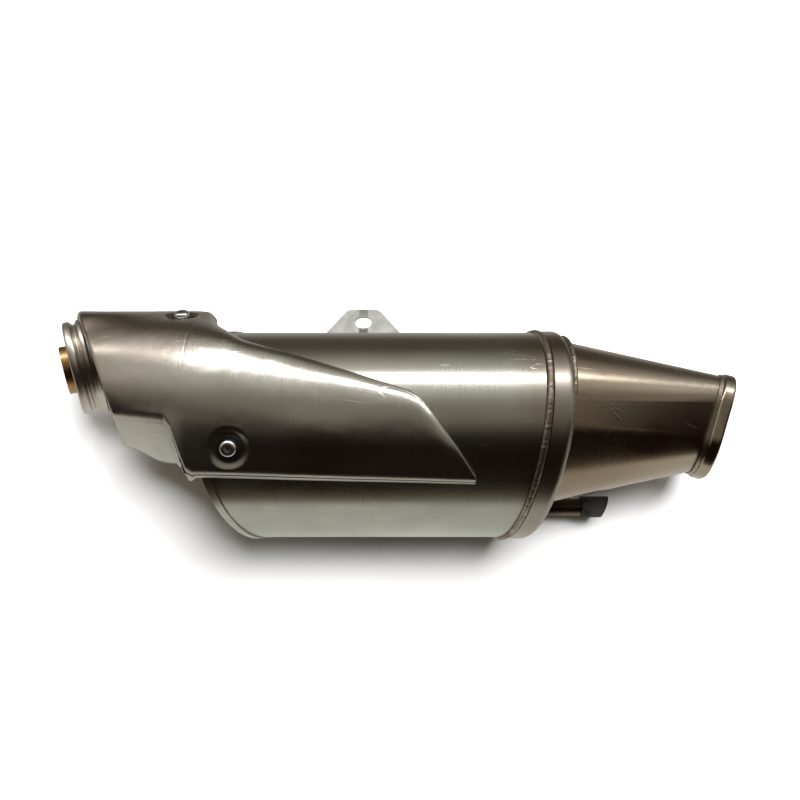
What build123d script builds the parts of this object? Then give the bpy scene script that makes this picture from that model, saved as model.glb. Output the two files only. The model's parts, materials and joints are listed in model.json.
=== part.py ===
from build123d import *
import math
import os

# Motorcycle exhaust silencer: a round can with a flat back, a slanted tail
# cone, an offset inlet neck and a bolted heat shield.  Everything is drawn with
# X along the can from inlet to outlet, Y toward the hanger bracket, Z toward the
# outer face and the can's axis on X.  At export the silencer is turned so that
# the inlet faces -Y and stood on its flat back at Z = 0.  All sizes are in mm.

# ---------------------------------------------------------------- can
CAN_R = 73.0                 # outer radius of the can
CAN_FLAT = 62.0              # axis to flat back
CAN_CORNER, CORNER_MIN = 12.0, 4.0           # blend between round and flat back; least inside
SHEET = 1.2                  # shell sheet
MAT_T = 8.0                  # insulation mat
LINER_T = 1.0                # inner shell
LINER_END = 6.0              # mat and liner stop this far short of the shell's ends
FRONT_X, FRONT_SLANT_Y, FRONT_SLANT_Z = -107.0, 0.11, 0.30   # front plane: x = x0 - slants * (y, z)
REAR_SLANT_Y, REAR_SLANT_Z = 0.15, 0.14       # rear planes: x = x0 + slants * (y, z)
SHELL_WELD_X, RIM_X = 82.0, 99.0              # where two of those planes cross the axis
WELD_W, WELD_H = 5.0, 2.2                     # weld bead width and height
BAND_STEP, BAND_T, BAND_ROUND = 1.0, 1.5, 5.0 # rear band: step over shell, sheet, shoulder
CAP_T, HEM_T, HEM_L = 1.5, 1.0, 3.5           # front cap sheet and its folded hem

# ---------------------------------------------------------------- tail
CONE_T = 1.5
CONE_BASE, CONE_BASE_AT = (120.0, 118.0, 53.0), (7.5, 2.0)   # along Y, along Z, corner; centre
CONE_BEAD_L, CONE_BEAD_ROUND = 4.0, 1.6
OUTLET, OUTLET_AT = (72.0, 58.0, 24.0), (219.0, 7.0, 0.0)
OUTLET_NORMAL = (1.0, -0.35, 0.20)
OUTLET_BEAD_L, OUTLET_BEAD_H = 2.0, 1.0
COLLAR_L, COLLAR_PROUD, COLLAR_ROUND = 8.5, 2.2, 2.0
PLATE_BACK, PLATE_T = 16.0, 2.0               # recessed outlet plate
TAILPIPE_R, TAILPIPE_T, TAILPIPE_AT = 16.0, 1.5, (0.0, 0.0)
TAILPIPE_X, TAILPIPE_PROUD = 10.0, 8.0

# ---------------------------------------------------------------- inlet
INLET_AT = (-240.5, 48.0, 0.0)                # centre of the collar's mouth face
INLET_NORMAL = (-1.0, -0.32, 0.36)            # the way the mouth faces
PIPE_R, PIPE_T, PIPE_OUT, PIPE_IN = 17.5, 1.5, 5.5, 38.5
COLLAR_STEPS = [(34.5, 8.0), (36.5, 9.0)]     # radius and length of each step
NECK_BASE_R, NECK_BASE_Y, NECK_T = 62.0, 4.0, 1.5
NECK_STEP = 1.0                               # neck starts this much inside the collar's rim

# ---------------------------------------------------------------- heat shield
SHIELD_T, SHIELD_GAP = 1.0, 0.5               # sheet, and clearance cut where it meets the can
LIP_AT, LIP_NORMAL, LIP_R, LIP_DEPTH = (-213.0, 40.0), (1.0, 0.45, -0.33), 50.0, 8.0
SWELL_START, SWELL_END, SWELL_STEPS = -178.0, -104.0, 10
SWELL_LIFT = 7.0                              # how far the swelling part leans outward
SHIELD_R = 80.5
SHIELD_TAPER = [(-20.0, 79.0), (60.0, 76.5)]  # X and radius toward the tip
SHIELD_BACK_Z = -14.0                         # how far it wraps round behind the axis
EDGE_T, EDGE_DEPTH = 1.2, 3.6                 # turned-in edge
TIP = (47.0, -37.5)
SHOULDER, SHOULDER_ROUND = (12.0, 16.0), 14.0
UPPER_EDGE = [(-300.0, 140.0), (-148.0, 140.0), (-143.0, 92.0), (-108.5, 60.0), (-64.0, 40.8)]
LOWER_EDGE = [(-124.0, -37.0), (-133.0, -40.0), (-147.0, -37.0), (-164.0, -60.0), (-300.0, -60.0)]
PAD_SIZE, PAD_AT = (14.0, 10.0), [(20.0, -27.0), (-22.0, 12.0), (-50.0, -26.0)]

# ---------------------------------------------------------------- fasteners
SCREW_R, SCREW_L, HEAD_R, HEAD_H, HEAD_ROUND = 3.0, 5.6, 5.4, 3.4, 2.4
HEX_AF, HEX_DEEP = 4.0, 2.0
WASHER_R, WASHER_T = 7.6, 1.2
RING_R, RING_T = 8.6, 1.0
BOSS_R, BOSS_L = 7.0, 14.0
CLEAR = 0.5                                   # screw clearance in sheet and washers
POCKET_R, POCKET_H = 11.5, 14.0
# X, centre height, angle from +Z toward +Y, distance from that centre to the pocket floor
SIDE_SCREW = (-104.8, 0.0, -13.6, 77.5)
TOP_SCREW = (-152.5, 43.2, 50.0, 45.9)

# ---------------------------------------------------------------- bracket and stop
BRACKET_X, BRACKET_Z, BRACKET_T = -28.5, -27.0, 3.0
BRACKET_BASE, BRACKET_TOP, BRACKET_TOP_Y = 58.0, 24.0, 101.0
BRACKET_FOOT_Y, BRACKET_SHOULDER_Y, BRACKET_ROUND = 60.0, 82.0, 7.0
SLOT_Y, SLOT_L, SLOT_R = 90.5, 12.5, 4.25
SADDLE_T, SADDLE_SIZE, SADDLE_Z = 2.0, (66.0, 34.0), -19.0
BRACKET_BEAD = 2.5
STOP_AT, STOP_R, STOP_T, STOP_END = (-51.0, -40.0), 6.5, 1.5, 146.0
BUFFER_R, BUFFER_X, BUFFER_NORMAL = 8.0, (138.0, 156.0), (1.0, -0.40, 0.0)

# ---------------------------------------------------------------- internals
BAFFLE_T = 1.5
FRONT_BAFFLE_X, MIDDLE_BAFFLE_X = -38.0, 24.0
CORE_R, CORE_T, CORE_AT, CORE_END = 17.0, 1.5, (36.0, 4.0), 32.0
CORE_HOLE_R, CORE_ROWS, CORE_AROUND, CORE_PITCH, CORE_FIRST = 2.0, 10, 8, 12.0, -94.0
CROSS_R, CROSS_T, CROSS_AT, CROSS_PAST = 11.0, 1.2, [(-20.0, 34.0), (-20.0, -34.0)], 8.0

FAR = 400.0                                   # longer than anything here
UP = (Align.CENTER, Align.CENTER, Align.MIN)


# ================================================================ helpers
def slanted(origin, normal):
    """A plane whose local X runs as nearly as possible along +Y."""
    n = Vector(*normal).normalized()
    y = Vector(0, 1, 0)
    return Plane(origin=origin, x_dir=(y - n * y.dot(n)).normalized(), z_dir=n)


def rear_plane(x, y=0.0, z=0.0):
    """The slanted rear plane that crosses the axis at x, centred over (y, z)."""
    at = (x + REAR_SLANT_Y * y + REAR_SLANT_Z * z, y, z)
    return slanted(at, (1, -REAR_SLANT_Y, -REAR_SLANT_Z))


def front_plane(x, y=0.0):
    return slanted((x - FRONT_SLANT_Y * y, y, 0), (1, FRONT_SLANT_Y, FRONT_SLANT_Z))


def across(x, y=0.0, z=0.0):
    """A plane square to the can's axis, local X along +Y and local Y along +Z."""
    return Plane(origin=(x, y, z), x_dir=(0, 1, 0), z_dir=(1, 0, 0))


def ahead_of(plane):
    """Everything on the plane's +Z side."""
    return plane * Box(FAR, FAR, FAR, align=UP)


def between(body, low, high):
    return (body & ahead_of(low)) - ahead_of(high)


def end_edges(body, plane):
    """The edges of the flat faces that are parallel to the plane."""
    flats = [f for f in body.faces() if abs(f.normal_at().dot(plane.z_dir)) > 0.999]
    return [e for f in flats for e in f.edges()]


def rod(r, length):
    return Cylinder(r, length, align=UP)


def tube(r_out, r_in, length):
    return rod(r_out, length) - rod(r_in, length)


def can_section(inset, flat_inset=None):
    """The can's outline moved in by `inset`; the flat back may move by another amount."""
    flat = CAN_FLAT - (inset if flat_inset is None else flat_inset)
    r = CAN_R - inset
    keep = Rectangle(FAR, FAR, align=(Align.CENTER, Align.MIN))
    outline = Circle(r) & Pos(0, -flat) * keep
    corners = outline.vertices().sort_by(Axis.Y)[:2]
    return fillet(corners, max(CAN_CORNER - max(inset, 0), CORNER_MIN))


def can_bar(inset, flat_inset=None):
    return extrude(Plane.YZ * can_section(inset, flat_inset), FAR / 2, both=True)


def loft_round(stations):
    """Loft straight through circles given as (plane, radius)."""
    return loft([plane * Circle(r) for plane, r in stations], ruled=True)


front = front_plane(FRONT_X)
shell_end = rear_plane(SHELL_WELD_X - WELD_W / 2)
band_start = rear_plane(SHELL_WELD_X + WELD_W / 2)
rim = rear_plane(RIM_X)
mouth = slanted(OUTLET_AT, OUTLET_NORMAL)
inlet = slanted(INLET_AT, INLET_NORMAL)
liner_ends = front.offset(LINER_END), shell_end.offset(-LINER_END)


# ================================================================ can
def make_outer_shell():
    return between(can_bar(0) - can_bar(SHEET), front, shell_end)


def make_insulation_mat():
    return between(can_bar(SHEET) - can_bar(SHEET + MAT_T), *liner_ends)


def make_inner_shell():
    return between(can_bar(SHEET + MAT_T) - can_bar(SHEET + MAT_T + LINER_T), *liner_ends)


def make_shell_weld():
    """Butt weld between shell and rear band, proud of the round and flush at the flat."""
    return between(can_bar(-WELD_H, 0) - can_bar(SHEET), shell_end, band_start)


def make_front_cap():
    """End plate with a hem folded over the shell's edge; the core tube passes through."""
    plate = between(can_bar(SHEET), front, front.offset(CAP_T))
    fold = between(can_bar(-HEM_T, 0), front.offset(-HEM_T), front)
    hem = between(can_bar(-HEM_T, 0) - can_bar(0), front, front.offset(HEM_L))
    return plate + fold + hem - core_bore()


def make_rear_plate():
    plate = between(can_bar(SHEET), shell_end.offset(-PLATE_T), shell_end)
    return plate - tail_bore()


def band_solid(inset):
    body = between(can_bar(-BAND_STEP + inset, inset), band_start, rear_plane(RIM_X - inset))
    back = body.faces().sort_by(Axis.X)[-1]
    return fillet(back.edges(), BAND_ROUND - inset)


def make_rear_band():
    return band_solid(0) - band_solid(BAND_T) - cone_solid(0)


# ================================================================ tail
def cone_solid(inset):
    """Straight loft from the round base on the rear band to the outlet's rounded rectangle."""
    sections = []
    for plane, (height, width, corner) in ((rear_plane(RIM_X - BAND_T, *CONE_BASE_AT), CONE_BASE),
                                           (mouth, OUTLET)):
        sections.append(plane * RectangleRounded(height - 2 * inset, width - 2 * inset, corner - inset))
    return loft(sections, ruled=True)


def make_cone_weld():
    height, width, corner = CONE_BASE
    outline = RectangleRounded(height + 2 * WELD_H, width + 2 * WELD_H, corner + WELD_H)
    base = rear_plane(RIM_X, *CONE_BASE_AT)
    bead = extrude(base * outline, CONE_BEAD_L)
    bead = fillet(bead.faces().sort_by(Axis.X)[-1].edges(), CONE_BEAD_ROUND)
    return bead - cone_solid(0)


def outlet_outline(grow):
    return RectangleRounded(OUTLET[0] + 2 * grow, OUTLET[1] + 2 * grow, OUTLET[2] + grow)


def make_outlet_weld():
    return extrude(mouth * (outlet_outline(OUTLET_BEAD_H) - outlet_outline(-CONE_T)), OUTLET_BEAD_L)


def make_outlet_collar():
    base = mouth.offset(OUTLET_BEAD_L)
    collar = extrude(base * outlet_outline(COLLAR_PROUD), COLLAR_L)
    collar = fillet(end_edges(collar, mouth), COLLAR_ROUND)
    return collar - extrude(base * outlet_outline(-CONE_T), COLLAR_L)


def tail_bore():
    return across(TAILPIPE_X, *TAILPIPE_AT) * rod(TAILPIPE_R, FAR)


def make_outlet_plate():
    face = mouth.offset(-PLATE_BACK)
    return between(cone_solid(CONE_T), face, face.offset(PLATE_T)) - tail_bore()


def make_tailpipe():
    pipe = across(TAILPIPE_X, *TAILPIPE_AT) * tube(TAILPIPE_R, TAILPIPE_R - TAILPIPE_T, FAR)
    return pipe - ahead_of(mouth.offset(TAILPIPE_PROUD - PLATE_BACK))


# ================================================================ inlet
def on_inlet(body, start, length):
    """Put a body of that length on the inlet axis, `start` behind the collar's mouth face."""
    return inlet.offset(-start - length) * body


def make_inlet_pipe():
    length = PIPE_OUT + PIPE_IN
    return on_inlet(tube(PIPE_R, PIPE_R - PIPE_T, length), -PIPE_OUT, length)


def collar_stack(r_in, grow=0.0):
    body, start = Part(), 0.0
    for radius, length in COLLAR_STEPS:
        step = rod(radius + grow, length) - rod(r_in, length) if r_in else rod(radius + grow, length)
        body += on_inlet(step, start, length)
        start += length
    return body


def neck_solid(inset):
    start = inlet.offset(-sum(length for _, length in COLLAR_STEPS))
    start = Plane(origin=start.origin, x_dir=start.x_dir * -1, z_dir=start.z_dir * -1)
    end = front_plane(FRONT_X, NECK_BASE_Y).offset(-HEM_T)
    return loft_round([(start, COLLAR_STEPS[-1][0] - NECK_STEP - inset), (end, NECK_BASE_R - inset)])


def make_inlet_neck():
    return neck_solid(0) - neck_solid(NECK_T)


# ================================================================ internals
def core_bore():
    return across(-FAR / 2, *CORE_AT) * rod(CORE_R, FAR / 2 + CORE_END)


def cross_body(at, body_of):
    start = FRONT_BAFFLE_X - CROSS_PAST
    return across(start, *at) * body_of(MIDDLE_BAFFLE_X + CROSS_PAST - start)


def make_baffle(x):
    plate = across(x) * extrude(can_section(SHEET + MAT_T + LINER_T), BAFFLE_T)
    for at in CROSS_AT:
        plate -= cross_body(at, lambda length: rod(CROSS_R, length))
    return plate - core_bore() - tail_bore()


def make_crossover_tubes():
    return [cross_body(at, lambda length: tube(CROSS_R, CROSS_R - CROSS_T, length)) for at in CROSS_AT]


def make_core_tube():
    """Perforated tube that leads the gas from the front cap into the can."""
    pipe = across(-FAR / 2, *CORE_AT) * tube(CORE_R, CORE_R - CORE_T, FAR / 2 + CORE_END)
    pipe &= ahead_of(front.offset(-HEM_T))
    for row in range(CORE_ROWS):
        x = CORE_FIRST + CORE_PITCH * row
        for k in range(CORE_AROUND):
            turn = 360 / CORE_AROUND * (k + 0.5 * (row % 2))
            pipe -= Pos(x, *CORE_AT) * Rot(turn, 0, 0) * rod(CORE_HOLE_R, CORE_R + CORE_T)
    return pipe


# ================================================================ heat shield
def shield_solid(inset):
    """The shield's outside moved in by `inset`: a round neck that swells onto the can."""
    lip = slanted((*LIP_AT, 0), LIP_NORMAL)
    stations = [(lip, LIP_R - inset)]
    for i in range(SWELL_STEPS):
        t = i / (SWELL_STEPS - 1)
        s = t * t * (3 - 2 * t)
        x = SWELL_START + (SWELL_END - SWELL_START) * t
        centre = across(x, LIP_AT[1] * (1 - s), SWELL_LIFT * math.sin(math.pi * s))
        stations.append((centre, LIP_R + (SHIELD_R - LIP_R) * s - inset))
    stations += [(across(x), r - inset) for x, r in SHIELD_TAPER]
    return loft_round(stations)


def shield_prism(inset):
    """The shield's outline seen from outside, as a tall prism."""
    face = make_face(Polyline(UPPER_EDGE + [SHOULDER, TIP] + LOWER_EDGE, close=True))
    corner = min(face.vertices(), key=lambda v: math.dist((v.X, v.Y), SHOULDER))
    face = fillet(corner, SHOULDER_ROUND)
    if inset:
        face = offset(face, amount=-inset)
    return extrude(Pos(0, 0, SHIELD_BACK_Z) * face, FAR / 2)


def screw_plane(x, y, angle, reach):
    """Plane on a pocket's floor, looking out along its screw."""
    a = math.radians(angle)
    n = Vector(0, math.sin(a), math.cos(a))
    return Plane(origin=Vector(x, y, 0) + n * reach, x_dir=(1, 0, 0), z_dir=n)


SCREW_PLANES = [screw_plane(*SIDE_SCREW), screw_plane(*TOP_SCREW)]


def make_heat_shield():
    outside, prism = shield_solid(0), shield_prism(0)
    lip = slanted((*LIP_AT, 0), LIP_NORMAL)
    skin = (outside - shield_solid(SHIELD_T)) & prism
    edge = (outside - shield_solid(EDGE_DEPTH)) & (prism - shield_prism(EDGE_T))
    lip_wall = between(outside - shield_solid(LIP_DEPTH), lip, lip.offset(SHIELD_T)) & prism
    body = skin + edge + lip_wall
    for floor in SCREW_PLANES:
        cup = floor.offset(-SHIELD_T) * rod(POCKET_R + SHIELD_T, POCKET_H)
        body = body + (cup & outside)
        body -= floor * rod(POCKET_R, POCKET_H)
        body -= floor * Cylinder(SCREW_R + CLEAR, POCKET_H)
    body -= between(can_bar(-HEM_T - SHIELD_GAP), front.offset(-HEM_T - SHIELD_GAP), shell_end)
    body -= collar_stack(0, SHIELD_GAP)
    body -= neck_solid(-SHIELD_GAP)
    return body.solids().sort_by(SortBy.VOLUME)[-1]


def make_shield_pads():
    """Heat-proof pads between the can and the underside of the shield."""
    gap = shield_solid(SHIELD_T) - can_bar(0)
    length, width = PAD_SIZE
    return [gap & Pos(x, y, CAN_R) * Box(length, width, CAN_R) for x, y in PAD_AT]


def make_screws():
    head = fillet(rod(HEAD_R, HEAD_H).faces().sort_by(Axis.Z)[-1].edges(), HEAD_ROUND)
    head -= Pos(0, 0, HEAD_H - HEX_DEEP) * extrude(RegularPolygon(HEX_AF / 2, 6, major_radius=False), HEX_DEEP)
    screw = head + Pos(0, 0, -SCREW_L) * rod(SCREW_R, SCREW_L)
    return [floor.offset(WASHER_T) * screw for floor in SCREW_PLANES]


def make_washers():
    return [floor * tube(WASHER_R, SCREW_R + CLEAR, WASHER_T) for floor in SCREW_PLANES]


def make_rings():
    return [floor.offset(-SHIELD_T - RING_T) * tube(RING_R, SCREW_R + CLEAR, RING_T) for floor in SCREW_PLANES]


def make_bosses():
    """Welded nuts: the side one on the can, the top one on the neck."""
    bosses = []
    for floor, seat in zip(SCREW_PLANES, (can_bar(0), neck_solid(0))):
        bosses.append(floor.offset(-SHIELD_T - RING_T - BOSS_L) * tube(BOSS_R, SCREW_R, BOSS_L) - seat)
    return bosses


# ================================================================ bracket and stop
def bracket_plate():
    half_base, half_top = BRACKET_BASE / 2, BRACKET_TOP / 2
    outline = [(-half_base, BRACKET_FOOT_Y), (half_base, BRACKET_FOOT_Y), (half_base, BRACKET_SHOULDER_Y),
               (half_top, BRACKET_TOP_Y), (-half_top, BRACKET_TOP_Y), (-half_base, BRACKET_SHOULDER_Y)]
    face = make_face(Polyline(outline, close=True))
    face = fillet(face.vertices().sort_by(Axis.Y)[-2:], BRACKET_ROUND)
    return extrude(Pos(BRACKET_X, 0, BRACKET_Z) * face, BRACKET_T)


def make_mount_bracket():
    slot = extrude(Pos(BRACKET_X, SLOT_Y, BRACKET_Z) * SlotOverall(SLOT_L, 2 * SLOT_R), BRACKET_T)
    return bracket_plate() - slot - can_bar(-SADDLE_T, -SADDLE_T)


def make_bracket_saddle():
    ring = can_bar(-SADDLE_T, -SADDLE_T) - can_bar(0)
    return ring & Pos(BRACKET_X, CAN_R, SADDLE_Z) * Box(SADDLE_SIZE[0], CAN_R, SADDLE_SIZE[1])


def make_bracket_weld():
    """Fillet weld along the plate's outer foot and round both its ends; the inner face stays clear."""
    over = SADDLE_T + BRACKET_BEAD
    ring = can_bar(-over, -over) - can_bar(-SADDLE_T, -SADDLE_T)
    box = Box(BRACKET_BASE + 2 * BRACKET_BEAD, CAN_R, BRACKET_T + BRACKET_BEAD, align=UP)
    return (ring & Pos(BRACKET_X, CAN_R, BRACKET_Z) * box) - bracket_plate()


def make_stop_post():
    post = across(SHELL_WELD_X, *STOP_AT) * tube(STOP_R, STOP_R - STOP_T, STOP_END - SHELL_WELD_X)
    return post - band_solid(0)


def make_stop_buffer():
    """Rubber cap pushed over the post, cut off at a slant."""
    start, end = BUFFER_X
    cap = across(start, *STOP_AT) * rod(BUFFER_R, end - start + BUFFER_R)
    cap -= across(start, *STOP_AT) * rod(STOP_R, STOP_END - start)
    return cap - ahead_of(slanted((end, *STOP_AT), BUFFER_NORMAL))


# ================================================================ write
parts = {
    "outer_shell": make_outer_shell(),
    "insulation_mat": make_insulation_mat(),
    "inner_shell": make_inner_shell(),
    "shell_weld": make_shell_weld(),
    "front_cap": make_front_cap(),
    "rear_plate": make_rear_plate(),
    "rear_band": make_rear_band(),
    "tail_cone": cone_solid(0) - cone_solid(CONE_T),
    "cone_weld": make_cone_weld(),
    "outlet_weld": make_outlet_weld(),
    "outlet_collar": make_outlet_collar(),
    "outlet_plate": make_outlet_plate(),
    "tailpipe": make_tailpipe(),
    "inlet_pipe": make_inlet_pipe(),
    "inlet_collar": collar_stack(PIPE_R),
    "inlet_neck": make_inlet_neck(),
    "front_baffle": make_baffle(FRONT_BAFFLE_X),
    "middle_baffle": make_baffle(MIDDLE_BAFFLE_X),
    "core_tube": make_core_tube(),
    "crossover_tubes": make_crossover_tubes(),
    "heat_shield": make_heat_shield(),
    "shield_pads": make_shield_pads(),
    "shield_screws": make_screws(),
    "shield_washers": make_washers(),
    "shield_rings": make_rings(),
    "shield_bosses": make_bosses(),
    "mount_bracket": make_mount_bracket(),
    "bracket_saddle": make_bracket_saddle(),
    "bracket_weld": make_bracket_weld(),
    "stop_post": make_stop_post(),
    "stop_buffer": make_stop_buffer(),
}

os.makedirs("parts", exist_ok=True)
to_export = Pos(0, 0, CAN_FLAT) * Rot(0, 0, 90)
for node, shape in parts.items():
    if isinstance(shape, list):
        shape = Compound(children=[Part(s.wrapped) for s in shape])
    export_step(to_export * shape, f"parts/{node}.step")
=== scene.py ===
import bpy
import bmesh
import json
import math
from mathutils import Matrix, Vector, noise


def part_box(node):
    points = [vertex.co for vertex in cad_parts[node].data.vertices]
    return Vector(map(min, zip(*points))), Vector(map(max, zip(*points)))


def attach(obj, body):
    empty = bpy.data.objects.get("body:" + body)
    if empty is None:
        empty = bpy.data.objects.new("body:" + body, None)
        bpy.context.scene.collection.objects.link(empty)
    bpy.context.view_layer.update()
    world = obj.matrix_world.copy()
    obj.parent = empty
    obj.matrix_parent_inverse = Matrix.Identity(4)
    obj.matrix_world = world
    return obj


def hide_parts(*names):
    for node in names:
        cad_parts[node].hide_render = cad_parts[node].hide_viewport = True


# Looks of a motorcycle silencer that lies on its flat back.  Shapes are drawn in the
# silencer's own axes in millimetres: X along the can from inlet to outlet, Y toward the
# hanger bracket, Z toward the outer face, the can's axis on X.  `place` turns them into
# the frame's metres.  Materials work in the frame's metres.  Two weld beads, the heat
# shield's sheet and the inlet collar are modelled here and stand for their CAD nodes.

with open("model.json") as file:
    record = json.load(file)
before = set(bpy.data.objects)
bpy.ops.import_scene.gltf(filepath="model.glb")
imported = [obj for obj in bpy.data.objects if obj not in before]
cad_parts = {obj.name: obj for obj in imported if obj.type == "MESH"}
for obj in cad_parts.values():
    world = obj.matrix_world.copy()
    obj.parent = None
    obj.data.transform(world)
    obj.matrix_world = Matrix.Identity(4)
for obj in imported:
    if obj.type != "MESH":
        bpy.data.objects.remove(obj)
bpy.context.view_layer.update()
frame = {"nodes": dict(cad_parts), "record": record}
nodes = frame["nodes"]

MM = 0.001
can_low, can_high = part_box("outer_shell")
CAN_R = (can_high.x - can_low.x) / 2 / MM
AXIS_X = (can_high.x + can_low.x) / 2
AXIS_Z = can_high.z - CAN_R * MM
CAN_FLAT = AXIS_Z / MM                     # axis to the flat back

REAR_SLANT_Y, REAR_SLANT_Z = 0.15, 0.14    # the rear planes lean by this much along Y and Z


def place(x, y, z):
    """Silencer millimetres to frame metres."""
    return Vector((AXIS_X - y * MM, x * MM, AXIS_Z + z * MM))


def silencer(point):
    """Frame metres to silencer millimetres."""
    return Vector((point[1], AXIS_X - point[0], point[2] - AXIS_Z)) / MM


def smooth(t):
    t = min(max(t, 0.0), 1.0)
    return t * t * (3 - 2 * t)


def between(table, x, ease=lambda t: t):
    """Value at x in a short list of (x, value), along straight or eased stretches."""
    if x <= table[0][0]:
        return table[0][1]
    for (x0, v0), (x1, v1) in zip(table, table[1:]):
        if x <= x1:
            return v0 + (v1 - v0) * ease((x - x0) / (x1 - x0))
    return table[-1][1]


def mount(name):
    """A mount of the record."""
    return next(m for m in frame["record"]["mounts"] if m["name"] == name)


# ================================================================ node materials
class Nodes:
    """Short-hand for one material's node tree."""

    def __init__(self, name):
        self.material = bpy.data.materials.new(name)
        self.material.use_nodes = True
        self.tree = self.material.node_tree
        self.tree.nodes.clear()
        self.out = self.tree.nodes.new("ShaderNodeOutputMaterial")
        self.shader = self.tree.nodes.new("ShaderNodeBsdfPrincipled")
        self.link(self.shader.outputs["BSDF"], self.out.inputs["Surface"])
        coord = self.tree.nodes.new("ShaderNodeTexCoord")
        self.where = coord.outputs["Object"]

    def link(self, source, target):
        self.tree.links.new(source, target)

    def put(self, value, socket):
        """A socket from a number, a colour or another node's output."""
        if isinstance(value, bpy.types.NodeSocket):
            self.link(value, socket)
        else:
            socket.default_value = value

    @staticmethod
    def rgba(color):
        return color if isinstance(color, bpy.types.NodeSocket) else (*color, 1)

    def mapped(self, scale, offset=(0, 0, 0)):
        n = self.tree.nodes.new("ShaderNodeMapping")
        self.link(self.where, n.inputs["Vector"])
        n.inputs["Scale"].default_value = scale
        n.inputs["Location"].default_value = offset
        return n.outputs["Vector"]

    def noise(self, scale, detail=4.0, rough=0.55, offset=(0, 0, 0), warp=0.0):
        """Noise with its own scale along the frame's X, Y and Z, in cycles per metre."""
        n = self.tree.nodes.new("ShaderNodeTexNoise")
        self.link(self.mapped(scale, offset), n.inputs["Vector"])
        n.inputs["Scale"].default_value = 1.0
        n.inputs["Detail"].default_value = detail
        n.inputs["Roughness"].default_value = rough
        n.inputs["Distortion"].default_value = warp
        return n.outputs["Fac"]

    def cells(self, scale, offset=(0, 0, 0)):
        """Distance to the nearest of many scattered points."""
        n = self.tree.nodes.new("ShaderNodeTexVoronoi")
        self.link(self.mapped(scale, offset), n.inputs["Vector"])
        n.inputs["Scale"].default_value = 1.0
        return n.outputs["Distance"]

    def axis(self, name):
        n = self.tree.nodes.new("ShaderNodeSeparateXYZ")
        self.link(self.where, n.inputs["Vector"])
        return n.outputs[name]

    def math(self, operation, a, b=0.0, clamp=False):
        n = self.tree.nodes.new("ShaderNodeMath")
        n.operation = operation
        n.use_clamp = clamp
        self.put(a, n.inputs[0])
        self.put(b, n.inputs[1])
        return n.outputs[0]

    def ramp(self, value, low, high, out_low=0.0, out_high=1.0):
        """Value from low..high to out_low..out_high, eased and clamped."""
        n = self.tree.nodes.new("ShaderNodeMapRange")
        n.interpolation_type = "SMOOTHSTEP"
        self.put(value, n.inputs["Value"])
        n.inputs["From Min"].default_value = low
        n.inputs["From Max"].default_value = high
        n.inputs["To Min"].default_value = out_low
        n.inputs["To Max"].default_value = out_high
        return n.outputs["Result"]

    def mix(self, factor, a, b):
        n = self.tree.nodes.new("ShaderNodeMix")
        n.data_type = "RGBA"
        self.put(factor, n.inputs["Factor"])
        self.put(self.rgba(a), n.inputs[6])
        self.put(self.rgba(b), n.inputs[7])
        return n.outputs[2]

    def bump(self, height, strength, distance, after=None):
        n = self.tree.nodes.new("ShaderNodeBump")
        n.inputs["Strength"].default_value = strength
        n.inputs["Distance"].default_value = distance
        self.link(height, n.inputs["Height"])
        if after is not None:
            self.link(after, n.inputs["Normal"])
        return n.outputs["Normal"]

    def edges(self, radius):
        """Bright on worn outer edges, from the bevelled normal's turn."""
        bevel = self.tree.nodes.new("ShaderNodeBevel")
        bevel.samples = 4
        bevel.inputs["Radius"].default_value = radius
        geometry = self.tree.nodes.new("ShaderNodeNewGeometry")
        dot = self.tree.nodes.new("ShaderNodeVectorMath")
        dot.operation = "DOT_PRODUCT"
        self.link(bevel.outputs["Normal"], dot.inputs[0])
        self.link(geometry.outputs["Normal"], dot.inputs[1])
        return self.ramp(dot.outputs["Value"], 0.995, 0.90)

    def radial(self, axis, rotation):
        """Brushing direction round the can."""
        tangent = self.tree.nodes.new("ShaderNodeTangent")
        tangent.direction_type = "RADIAL"
        tangent.axis = axis
        self.link(tangent.outputs["Tangent"], self.shader.inputs["Tangent"])
        self.shader.inputs["Anisotropic Rotation"].default_value = rotation

    def finish(self, color, rough, metallic=1.0, normal=None, anisotropic=0.0):
        self.put(self.rgba(color), self.shader.inputs["Base Color"])
        self.put(rough, self.shader.inputs["Roughness"])
        self.shader.inputs["Metallic"].default_value = metallic
        self.shader.inputs["Anisotropic"].default_value = anisotropic
        if normal is not None:
            self.link(normal, self.shader.inputs["Normal"])
        return self.material


def round_grain(m, strength):
    """Fine grooves that run round the can: the noise changes fast along the can only."""
    fine = m.noise((12, 6500, 12), detail=3, rough=0.7)
    broad = m.noise((7, 1900, 7), detail=4, rough=0.7, offset=(3, 1, 2))
    grain = m.math("ADD", m.math("MULTIPLY", fine, 0.7), m.math("MULTIPLY", broad, 0.3))
    return grain, m.bump(grain, strength, 0.00005)


def scratches(m, scale, offset, width):
    """Sparse thin marks: the crest of a stretched, warped noise, broken by a second one."""
    line = m.noise(scale, detail=1.5, rough=0.4, offset=offset, warp=0.6)
    crest = m.math("ABSOLUTE", m.math("SUBTRACT", line, 0.5))
    thin = m.ramp(crest, width, 0.0)
    here = m.ramp(m.noise((22, 22, 22), detail=2, offset=offset), 0.56, 0.66)
    return m.math("MULTIPLY", thin, here)


PIT, BRIGHT_MARK, DARK_MARK = (0.10, 0.08, 0.07), (0.66, 0.65, 0.63), (0.16, 0.14, 0.12)
BRUSH_TURN, BRUSH_STRETCH = 0.25, 0.75     # turn and strength of the brushed highlight


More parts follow.
